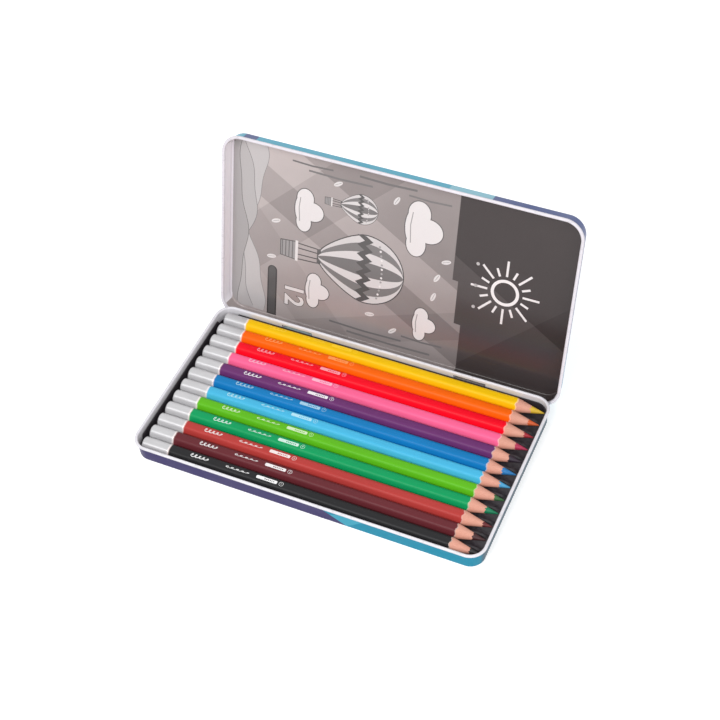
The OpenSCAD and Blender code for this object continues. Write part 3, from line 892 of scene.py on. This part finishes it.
def tongues():
    """The lid's two tongues, each rolled round its wire, as they lie on the shut tin."""
    steps, half = 32, TONGUE_W / 2
    curl = [radians(90 - CURL_TURN * k / steps) for k in range(steps + 1)]
    layers = ((CURL_R, curl), (CURL_BORE + 0.08, curl[::-1]))
    section = [(AXIS_Y + r * cos(a), AXIS_Z + r * sin(a)) for r, angles in layers for a in angles]
    n = len(section)
    y, z = AXIS_Y + AXIS_INSET - LID_BEAD_OUT - SHEET, AXIS_Z + CURL_BORE + 0.1
    top = AXIS_Z + NOTCH_H + SHEET - AXIS_ABOVE_RIM
    loft = Loft()
    for x in HINGE_X:
        for side in (-half, half):
            ids = loft.ring([(x + side, *spot) for spot in section])
            loft.faces += [(ids[k], ids[k + 1], ids[n - 2 - k], ids[n - 1 - k]) for k in range(steps)]
        loft.part()
        loft.add(*box((x - half, y, z), (x + half, y + SHEET, top)))
    return loft


def lid_shell():
    """The lid with its notches, and the tongues that hinge it, carried to where it stands open."""
    section = shell_section(LID_BEAD_OUT, LID_H, LID_BEAD_D, FOLD_R)
    points, faces, slots = drawn_shell(LID_L - HAIR, LID_W - HAIR, LID_R, section)
    points = [(x, y, SHUT_Z + LID_H - z) for x, y, z in points]
    materials = [printed_lid(), rim_metal("lid_rim", (229, 224, 231)), grey_print("lid_inside")]
    shell = make_mesh("lid_shell", points, faces, slots=slots, materials=materials)
    half, near, far = NOTCH_W / 2, LID_W / 2 - LID_BEAD_D - PAST, LID_W / 2 + PAST
    low, high = SHUT_Z - PAST, SHUT_Z + NOTCH_H
    cut_openings(shell, [((x - half, near, low), (x + half, far, high)) for x in HINGE_X])
    for vertex in shell.data.vertices:
        vertex.co = Vector(opened(vertex.co / MM)) * MM
    even_shading(shell)
    rolled = tongues()
    rolled.points = [opened(p) for p in rolled.points]
    curls = rolled.piece("hinge_tongues", tongue_print())
    for made in (shell, curls):
        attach(made, "lid")
    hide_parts("tin_lid")


def hinge_wires():
    """Two short wires, rounded at their ends."""
    half = EAR_OUT + SHEET / 2
    end = ((0.0, 0.25), (0.07, 0.08), (0.2, 0.0))
    profile = [(back - half, WIRE_R - d) for back, d in end]
    profile += [(-x, r) for x, r in reversed(profile)]
    circle = [radians(15 * k) for k in range(24)]
    loft = Loft()
    for x in HINGE_X:
        ends = [
            loft.ring([(x + s, AXIS_Y + r * cos(a), AXIS_Z + r * sin(a)) for a in circle]) for s, r in profile
        ]
        loft.part()
        loft.cap(ends[0], (x - half, AXIS_Y, AXIS_Z))
        loft.cap(ends[-1], (x + half, AXIS_Y, AXIS_Z))
    wires = loft.piece("hinge_wires", wire_steel())
    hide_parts("hinge_pins")
    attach(wires, "tin")


def ridge_height(y):
    """Height of the bed's ridges at y, a little under the tray's, as they are softer."""
    k = round(y / PITCH)
    if abs(k) > RIDGES:
        return 0.0
    flat, foot = RIDGE_TOP / 2, RIDGE_FOOT / 2
    return RIDGE_H * smooth((foot - abs(y - k * PITCH)) / (foot - flat)) * 0.98


def tray_bed():
    """The bed: a thin sheet with a soft ridge between each two pencils."""
    half_w = TRAY_W / 2 - TRAY_T / 2
    # rows of points: on each ridge, beside it, and along the bed's edges
    beside, inset = (0.3, 0.5, 0.7, 0.9, 1.1, 1.3, 1.5, 2.2), (0, 0.6, 2.5)
    ridges = [k * PITCH for k in range(-RIDGES, RIDGES + 1)]
    rows = ridges + [y + side * d for y in ridges for side in (-1, 1) for d in beside]
    rows += [side * (half_w - d) for side in (-1, 1) for d in inset]
    rows = sorted(y for y in rows if abs(y) <= half_w)
    cols = 60
    points = []
    for side in (0, 1):
        for y in rows:
            into = max(abs(y) - (TRAY_W / 2 - TRAY_R), 0)
            half_l = TRAY_L / 2 - TRAY_T / 2 - (TRAY_R - sqrt(max(TRAY_R**2 - into**2, 0)))
            for c in range(cols + 1):
                u = 2 * c / cols - 1
                x = copysign(1 - (1 - abs(u)) ** 1.35, u) * half_l
                z = BED_Z + ridge_height(y) * smooth((half_l - abs(x) - 0.6) / 3.0)
                points.append((x, y, z - side * TRAY_T))
    n = len(rows)

    def at(side, r, c):
        return (side * n + r) * (cols + 1) + c

    faces = []
    for r in range(n - 1):
        for c in range(cols):
            faces.append((at(0, r, c), at(0, r, c + 1), at(0, r + 1, c + 1), at(0, r + 1, c)))
            faces.append((at(1, r, c), at(1, r + 1, c), at(1, r + 1, c + 1), at(1, r, c + 1)))
    border = [(0, c) for c in range(cols)] + [(r, cols) for r in range(n - 1)]
    border += [(n - 1, c) for c in range(cols, 0, -1)] + [(r, 0) for r in range(n - 1, 0, -1)]
    for a, b in zip(border, border[1:] + border[:1]):
        faces.append((at(0, *a), at(1, *a), at(1, *b), at(0, *b)))
    return points, faces


def tray_wall(tray):
    """The wall round the bed, rolled over at its rim and lowered at two corners."""
    def lowered(x, y, z):
        """The height z, lowered near the rim where the outer pencils' blunt ends pass over it."""
        along = smooth((-x - (TRAY_L / 2 - TRAY_R - 2)) / 2)
        aside = smooth((abs(y) - (TRAY_W / 2 - TRAY_R - 2)) / 2)
        share = min(max((z - BED_Z - 1) / (TRAY_H - BED_Z - 1), 0), 1)
        return z - (TRAY_H - TRAY_CORNER) * along * aside * share

    t, half = TRAY_T, TRAY_T / 2
    section = [(0, TRAY_FOOT), (0, TRAY_H - half)]
    roll = [radians(36 * k) for k in (1, 2, 3, 4)]
    section += [(half - half * cos(a), TRAY_H - half + half * sin(a)) for a in roll]
    cove = ((0, 0.9), (0.12, 0.45), (0.45, 0.12), (0.9, 0.01), (0.9, -0.2), (0, -0.2))
    section += [(t, TRAY_H - half)] + [(t + d, BED_Z + z) for d, z in cove] + [(t, TRAY_FOOT)]
    path = round_path(TRAY_L, TRAY_W, TRAY_R, steps=12, stops=(0.4, 0.8, 1.2, 1.6, 2.0))
    for inset, z in section:
        tray.ring([(x - nx * inset, y - ny * inset, lowered(x, y, z)) for (x, y), (nx, ny) in path])
    tray.close()


def formed_tray():
    """The black tray under the pencils."""
    loft = Loft()
    loft.add(*tray_bed())
    tray_wall(loft)
    tray = loft.piece("formed_tray", tray_plastic(), angle=40)
    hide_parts("insert_tray")
    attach(tray, "tray")


# ---------------------------------------------------------------- prints


def oval(cu, cv, ru, rv, start=0, end=360, n=40, turn=0):
    """Points round an oval on the panel, with start, end and turn in degrees."""
    t = radians(turn)
    out = []
    for k in range(n if end - start >= 360 else n + 1):
        a = radians(start + (end - start) * k / n)
        x, y = ru * cos(a), rv * sin(a)
        out.append((cu + x * cos(t) - y * sin(t), cv + x * sin(t) + y * cos(t)))
    return out


def stroke(points, width):
    """A line of an even width through points, as one outline."""
    left, right = [], []
    for k, (u, v) in enumerate(points):
        a, b = points[max(k - 1, 0)], points[min(k + 1, len(points) - 1)]
        du, dv = b[0] - a[0], b[1] - a[1]
        length = hypot(du, dv) or 1
        nu, nv = -dv / length * width / 2, du / length * width / 2
        left.append((u + nu, v + nv))
        right.append((u - nu, v - nv))
    return left + right[::-1]


def numeral(text, size, weight=0.0):
    """Outlines of a plain number as a flat mesh: points and faces in millimetres."""
    curve = bpy.data.curves.new("numeral", "FONT")
    curve.body, curve.size, curve.resolution_u, curve.offset = text, size, 4, weight
    curve.align_x, curve.align_y = "CENTER", "CENTER"
    made = add_object("numeral", curve)
    graph = bpy.context.evaluated_depsgraph_get()
    mesh = bpy.data.meshes.new_from_object(made.evaluated_get(graph))
    points = [tuple(v.co)[:2] for v in mesh.vertices]
    faces = [tuple(p.vertices) for p in mesh.polygons]
    bpy.data.objects.remove(made)
    bpy.data.curves.remove(curve)
    bpy.data.meshes.remove(mesh)
    return points, faces


class Picture:
    """Thin flat shapes of ink on the panel, each with its own tone."""

    def __init__(self):
        self.points, self.faces, self.tones = [], [], []

    def lay(self, outline, tone, level, surface=None):
        """Adds a flat shape; level counts the inks that lie under it."""
        base, n = len(self.points), len(outline)
        face_z = SHUT_Z + LID_H - SHEET
        for depth in (0.0, INK_STEP * level + INK_FILM):
            self.points += [opened((u, LID_W / 2 - v, face_z - depth)) for u, v in outline]
        flat = surface or [tuple(range(n))]
        self.faces += [tuple(base + i for i in f) for f in flat]
        self.faces += [tuple(base + n + i for i in reversed(f)) for f in flat]
        edges = dict.fromkeys(edge for f in flat for edge in zip(f, f[1:] + f[:1]))
        for a, b in edges:
            if (b, a) not in edges:
                self.faces.append((base + b, base + a, base + n + a, base + n + b))
        self.tones += [tone] * (2 * n)

    def line(self, path, width, tone, level):
        self.lay(stroke(path, width), tone, level)


def panel_end(v):
    """The u at which the flat of the panel ends on the left, at v up the lid."""
    edge = LID_BEAD_OUT + FOLD_R + 0.2
    radius, near = LID_R - edge, LID_R
    off = max(near - v, v - (LID_W - near), 0)
    return -LID_L / 2 + near - sqrt(max(radius**2 - off**2, 0))


def draw_hills(art):
    """Hills along the left, where the picture has its ground."""
    rows = [3.0 + (LID_W - 6.0) * k / 64 for k in range(65)]
    ends = [panel_end(v) for v in rows]
    for start, swell, phase, tone, level in HILLS:
        waves = [swell * sin(v * 0.085 + phase) + swell * 0.3 * sin(v * 0.21 + phase) for v in rows]
        ridge = [(max(start + wave, end + 0.3), v) for wave, end, v in zip(waves, ends, rows)]
        art.lay(ridge + list(zip(ends, rows))[::-1], tone, level)
        art.line(ridge[1:-1], 0.28, tone - 0.2, level + 0.4)


def draw_balloon(art, cu, cv, size):
    """A balloon that flies to the right: its striped bag, ropes and basket."""
    def at(points):
        return [(cu + u * size, cv + v * size) for u, v in points]

    def block(near, far, half_near, half_far):
        """A tapering block across the balloon's axis."""
        return at([(near, -half_near), (near, half_near), (far, half_far), (far, -half_far)])

    bag = []
    for k in range(48):
        a = radians(7.5 * k)
        pinch = max(0, -cos(a))
        bag.append((20.5 * cos(a) - 5.5 * pinch**2.4, 19.0 * sin(a) * (1 - 0.28 * pinch**1.5)))
    art.lay(at([(u * 1.025, v * 1.03) for u, v in bag]), 0.28, 3)
    art.lay(at(bag), 0.80, 4)
    for part, tone in ((0.78, 0.47), (0.50, 0.82), (0.22, 0.44)):
        art.lay(at([(u, v * part) for u, v in bag]), tone, 5 + (0.78 - part) * 6)
    zigzag = [(1.5 + (2.0 if k % 2 else -2.0), (-19.0 + 38.0 * k / 14) * 0.985) for k in range(15)]
    art.lay(at(zigzag + [(u - 4.6, v) for u, v in reversed(zigzag)]), 0.33, 9)
    for k in range(13):
        dot = oval(9.0 - 0.054 * (k - 6) ** 2, (k - 6) * 2.45, 0.62, 0.62, n=8)
        art.lay(at(dot), 0.9 if k % 2 else 0.62, 10)
    art.lay(block(-24.5, -26.6, 4.6, 4.0), 0.36, 5)
    for side in (-1, 1):
        for near in (1.6, 4.0):
            rope = at([(-26.4, near * side), (-38.4, near * 1.15 * side)])
            art.line(rope, 0.42 * size + 0.12, 0.3, 4)
    art.lay(block(-38.0, -47.2, 5.4, 4.6), 0.30, 5)
    art.lay(block(-38.4, -46.8, 5.0, 4.2), 0.58, 6)
    for k in range(4):
        u, half = -40.3 - 1.9 * k, 4.9 - 0.17 * k
        art.line(at([(u, -half), (u, half)]), 0.5 * size, 0.40, 7)
    art.line(at([(-38.0, -5.8), (-38.0, 5.8)]), 1.5 * size, 0.86, 8)


def draw_cloud(art, cu, cv, size):
    """A cloud of four bumps with an outline and one inner line."""
    bumps = ((0, 0, 6.2, 5.4), (-5.0, -7.0, 4.2, 5.6), (-4.4, 6.8, 4.8, 5.6), (-6.6, 0.4, 3.6, 8.0))
    for grow, tone, level in ((0.45, 0.34, 2), (0.0, 0.86, 2.6)):
        for k, (du, dv, ru, rv) in enumerate(bumps):
            bump = oval(cu + du * size, cv + dv * size, ru * size + grow, rv * size + grow)
            art.lay(bump, tone, level + k * 0.1)
    crease = [(cu + du * size, cv + dv * size) for du, dv in ((-7.4, -7), (-7.9, 1), (-7.2, 7))]
    art.line(crease, 0.5, 0.6, 3.4)


def draw_sun(art, cu, cv):
    """A line-drawn sun: a ring and sixteen rays, long and short by turns."""
    n = 48
    around = [(k, (k + 1) % n, n + (k + 1) % n, n + k) for k in range(n)]
    art.lay(oval(cu, cv, 7.2, 7.2, n=n) + oval(cu, cv, 5.6, 5.6, n=n), 0.90, 3, surface=around)
    for k in range(16):
        a = radians(22.5 * k)
        ray = [(cu + r * cos(a), cv + r * sin(a)) for r in (9.0, 13.4 if k % 2 else 17.5)]
        art.line(ray, 1.15, 0.88, 3)
    for k in range(3):
        art.lay(oval(cu - 15, cv - 12 + 12 * k, 0.9, 0.9, n=16), 0.7, 3)


def draw_tag(art, cu, cv):
    """A plain tag with a round end, and the number of pencils beside it."""
    half = 2.7
    end = oval(cu, cv, half, half, 0, 180, n=12)
    art.lay([(cu + half, 1.6)] + end + [(cu - half, 1.6)], 0.25, 2)
    inner = [(cu + half, 3.0)] + end + [(cu - half, 3.0)]
    art.lay([(u * 0.72 + cu * 0.28, v * 0.985) for u, v in inner], 0.33, 3)
    for weight, tone, level in ((0.62, 0.36, 4), (0.3, 0.84, 5)):
        shape, surface = numeral(str(len(PENCILS)), 15.0, weight)
        art.lay([(-55.0 + y, 17.6 - x * 0.9) for x, y in shape], tone, level, surface=surface)


def lid_picture():
    """The grey picture on the panel: balloons, clouds and hills, a sun on the dark end, and a plain 12."""
    art = Picture()
    draw_hills(art)
    for k, (u, v, length) in enumerate(WIND):
        streak = [(u, v), (u + length * 0.5, v - 0.5), (u + length, v)]
        art.line(streak, 0.9 + 0.1 * (k % 3), 0.42 + 0.03 * (k % 2), 2)
    for balloon in BALLOONS:
        draw_balloon(art, *balloon)
    for cloud in CLOUDS:
        draw_cloud(art, *cloud)
    for u, v, turn in LEAVES:
        du, dv = 1.9 * cos(radians(turn)), 1.9 * sin(radians(turn))
        art.lay(oval(u, v, 2.6, 1.15, turn=turn, n=18), 0.84, 3)
        art.line([(u - du, v - dv), (u + du, v + dv)], 0.18, 0.5, 4)
    draw_sun(art, *SUN)
    draw_tag(art, *TAG)
    ink_grey = motif_ink()
    picture = make_mesh(
        "lid_picture", art.points, art.faces, fields={"tone": art.tones}, materials=[ink_grey], angle=20
    )
    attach(picture, "lid")


def stamp_tree():
    """Geometry Nodes: a pencil's looped flourishes, bar with slits, ring and number on its upper flat."""
    tree = bpy.data.node_groups.new("pencil_stamp", "GeometryNodeTree")
    tree.interface.new_socket("Geometry", in_out="OUTPUT", socket_type="NodeSocketGeometry")
    kinds = {"Number": "NodeSocketString", "Ink": "NodeSocketMaterial"}
    sockets = {}
    for label in ("Number", "Ink", "Row", "Start", "Height", *STAMP_SIZES):
        kind = kinds.get(label, "NodeSocketFloat")
        sockets[label] = tree.interface.new_socket(label, in_out="INPUT", socket_type=kind).identifier
    graph = Graph(tree)
    given = graph.node("NodeGroupInput").output

    def node(kind, settings=None, **inputs):
        inputs = {key.replace("_", " "): value for key, value in inputs.items()}
        return graph.node("GeometryNode" + kind, settings, inputs)

    def vector(*parts):
        return graph.node("ShaderNodeCombineXYZ", None, dict(enumerate(parts)))

    def join(*shapes):
        made = graph.node("GeometryNodeJoinGeometry")
        for shape in shapes:
            tree.links.new(shape.socket, made.socket.node.inputs[0])
        return made

    def moved(shape, x, scale=(1, 1, 1)):
        return node("Transform", Geometry=shape, Translation=(x * MM, 0, 0), Scale=scale)

    def circle(radius):
        return node("CurvePrimitiveCircle", Resolution=28, Radius=radius)

    # the bar, with six slits that grow a little shorter
    bar = node("CurvePrimitiveQuadrilateral", Width=given("Bar Length"), Height=given("Bar Width"))
    bar = node("FilletCurve", Curve=bar, Radius=given("Bar Corner"))
    slits = []
    for k in range(6):
        width = given("Slit") - 0.03 * k * MM
        slit = node("CurvePrimitiveQuadrilateral", Width=width, Height=given("Slit"))
        spot = vector(given("Slit Pitch") * k - 0.9 * MM)
        slits.append(node("Transform", Geometry=slit, Translation=spot))
    bar = node("FillCurve", Curve=join(bar, *slits))

    # the ring and the number in it
    ring = join(circle(given("Ring")), circle(given("Ring") - given("Ring Line")))
    ring = node("FillCurve", Curve=ring)
    middle = dict(align_x="CENTER", align_y="MIDDLE")
    number = node("StringToCurves", middle, String=given("Number"), Size=given("Number Size"))
    number = node("FillCurve", Curve=node("RealizeInstances", Geometry=number))

    # looped flourishes: a line of loops that grow smaller, leaning forwards and climbing over itself
    points, turns, lean, climb = 90, 4.5, 0.4, 0.03
    along = node("InputIndex").sum("DIVIDE", float(points - 1))
    phase = along * (2 * pi * turns)
    rise = phase.sum("SINE") * (given("Loop Height") - along * given("Loop Shrink"))
    run = along * given("Loops Length") + phase.sum("COSINE") * given("Loop Width") + rise * lean
    spots = vector(run, rise, along * (climb * MM))
    line = node("SetPosition", Geometry=node("MeshLine", Count=points), Position=spots)
    line = node("SetCurveNormal", dict(mode="Z_UP"), Curve=node("MeshToCurve", Mesh=line))
    nib = node("CurvePrimitiveLine", Start=(-0.2 * MM, 0, 0), End=(0.2 * MM, 0, 0))
    ribbon = node("CurveToMesh", Curve=line, Profile_Curve=nib)

    flat = join(
        moved(bar, 42.6), moved(ring, 50.2), moved(number, 50.2),
        moved(ribbon, 1.6), moved(ribbon, 20.6, scale=(1.3, 0.5, 1.0)),
    )
    flat = node("RealizeInstances", Geometry=flat)
    film = node("ExtrudeMesh", Mesh=flat, Offset_Scale=given("Ink Film"), Individual=False)
    solid = node("MergeByDistance", Geometry=join(film, node("FlipFaces", Mesh=flat)), Distance=0.001 * MM)
    spot = vector(given("Start"), given("Row"), given("Height"))
    solid = node("RealizeInstances", Geometry=node("Transform", Geometry=solid, Translation=spot))
    inked = node("SetMaterial", Geometry=solid, Material=given("Ink"))
    graph.node("NodeGroupOutput", None, {0: inked})
    return tree, sockets


def stamp(i, name, tree, sockets, foil):
    """The stamped marks of pencil i."""
    piece = add_object(name + "_stamp", bpy.data.meshes.new(name + "_stamp"))
    build = piece.modifiers.new("stamp", "NODES")
    build.node_group = tree
    places = {
        "Row": row(i) + STAMP_SHIFT[i],
        "Start": STAMP_START + 0.9 * sin(i * 2.1),
        "Height": PENCIL_TOP + 0.002,
    }
    for label, value in (STAMP_SIZES | places).items():
        build[sockets[label]] = value * MM
    build[sockets["Number"]] = str(i + 1)
    build[sockets["Ink"]] = foil
    baked(piece)
    work = bmesh.new()
    work.from_mesh(piece.data)
    bmesh.ops.recalc_face_normals(work, faces=work.faces)
    work.to_mesh(piece.data)
    work.free()
    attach(piece, name + "_pencil")


# ---------------------------------------------------------------- stage, lamps, camera


TABLE_GLOW, ROOM_LIGHT = 0.45, 0.56


def background_rays(graph):
    """1 for rays that show the background: to the camera, in a gloss, and through glass."""
    rays = graph.node("ShaderNodeLightPath").output
    return rays("Is Camera Ray").above(rays("Is Glossy Ray")).above(rays("Is Transmission Ray"))


def table_top():
    """A pale table that stays white to the camera and keeps the object's shadow."""
    half, z = 3000, -0.02
    p = Paint("pale_table", Roughness=0.9)
    p.finish(p.mix(p.grain(40), (0.80, 0.80, 0.80, 1), (0.84, 0.84, 0.84, 1)))
    plain = Amount(p, p.shader.outputs[0])
    glow = p.node("ShaderNodeEmission", None, {"Color": WHITE, "Strength": TABLE_GLOW})
    bright = p.node("ShaderNodeAddShader", None, {0: plain, 1: glow})
    top = p.node("ShaderNodeMixShader", None, {0: background_rays(p), 1: plain, 2: bright})
    p.tree.links.new(top.socket, p.tree.nodes["Material Output"].inputs[0])
    corners = [(-half, -half, z), (half, -half, z), (half, half, z), (-half, half, z)]
    make_mesh("table", corners, [(0, 1, 2, 3)], materials=[p.material])


def soft_lamp(name, place, aim, size, watts):
    """A rectangular lamp at a place, turned to its aim."""
    lamp = bpy.data.lights.new(name, "AREA")
    lamp.shape, lamp.size, lamp.size_y, lamp.energy = "RECTANGLE", size[0] * MM, size[1] * MM, watts
    made = add_object(name, lamp)
    made.location = Vector(place) * MM
    made.rotation_mode = "QUATERNION"
    made.rotation_quaternion = (Vector(aim) - Vector(place)).to_track_quat("-Z", "Y")


def studio():
    """Even light all round, white where the background shows, and three large soft lamps."""
    world = bpy.data.worlds.new("studio")
    bpy.context.scene.world = world
    world.use_nodes = True
    sky = Graph(world.node_tree)
    room = sky.tree.nodes["Background"]
    room.inputs[0].default_value, room.inputs[1].default_value = WHITE, ROOM_LIGHT
    white = sky.node("ShaderNodeBackground", None, {0: WHITE, 1: 1.0})
    shown = sky.node("ShaderNodeMixShader", None, {
        0: background_rays(sky), 1: Amount(sky, room.outputs[0]), 2: white})
    sky.tree.links.new(shown.socket, sky.tree.nodes["World Output"].inputs[0])
    soft_lamp("key_box", (-150, -540, 740), (0, 10, 10), (520, 380), 4.2)
    soft_lamp("fill_box", (560, -420, 520), (0, 0, 10), (520, 520), 2.4)
    soft_lamp("rear_box", (-120, 520, 760), (0, 20, 10), (600, 300), 0.5)


def camera():
    """The camera, aimed at a point near the tin from its front right, a little rolled."""
    azimuth, elevation, roll = (radians(d) for d in (28.48536, 49.28759, -5.8572))
    aim, distance = Vector((-39.08409, 97.1919, -65.99546)), 850.1093
    frame_px, focal_px = 720.0, 1494.12276
    back = Vector((
        sin(azimuth) * cos(elevation), -cos(azimuth) * cos(elevation), sin(elevation)))
    right = Vector((cos(azimuth), sin(azimuth), 0))
    up = back.cross(right)
    across = right * cos(roll) + up * sin(roll)
    rise = up * cos(roll) - right * sin(roll)
    lens = bpy.data.cameras.new("camera")
    lens.sensor_width = 36.0
    lens.lens = focal_px * lens.sensor_width / frame_px
    lens.clip_start, lens.clip_end = 0.01, 20.0
    made = add_object("camera", lens)
    turn = Matrix((across, rise, back)).transposed()
    made.matrix_world = Matrix.Translation((aim + back * distance) * MM) @ turn.to_4x4()
    bpy.context.scene.camera = made


camera()
studio()
table_top()
silver, cedar_wood = silver_paint(), cedar()
base_shell()
hinge_wires()
lid_shell()
lid_picture()
formed_tray()
stamps, stamp_sockets = stamp_tree()
for i, (name, shade, core_shade, dip_l, bare_l, strength) in enumerate(PENCILS):
    pencil = Pencil(i, name, dip_l, bare_l)
    silver_dip(pencil, silver)
    lacquer_coat(pencil, shade)
    wooden_case(pencil, cedar_wood)
    waxy_core(pencil, core_shade)
    stamp(i, name, stamps, stamp_sockets, stamp_foil(name + "_stamp", shade, strength))

bpy.context.scene.view_settings.view_transform = "Standard"
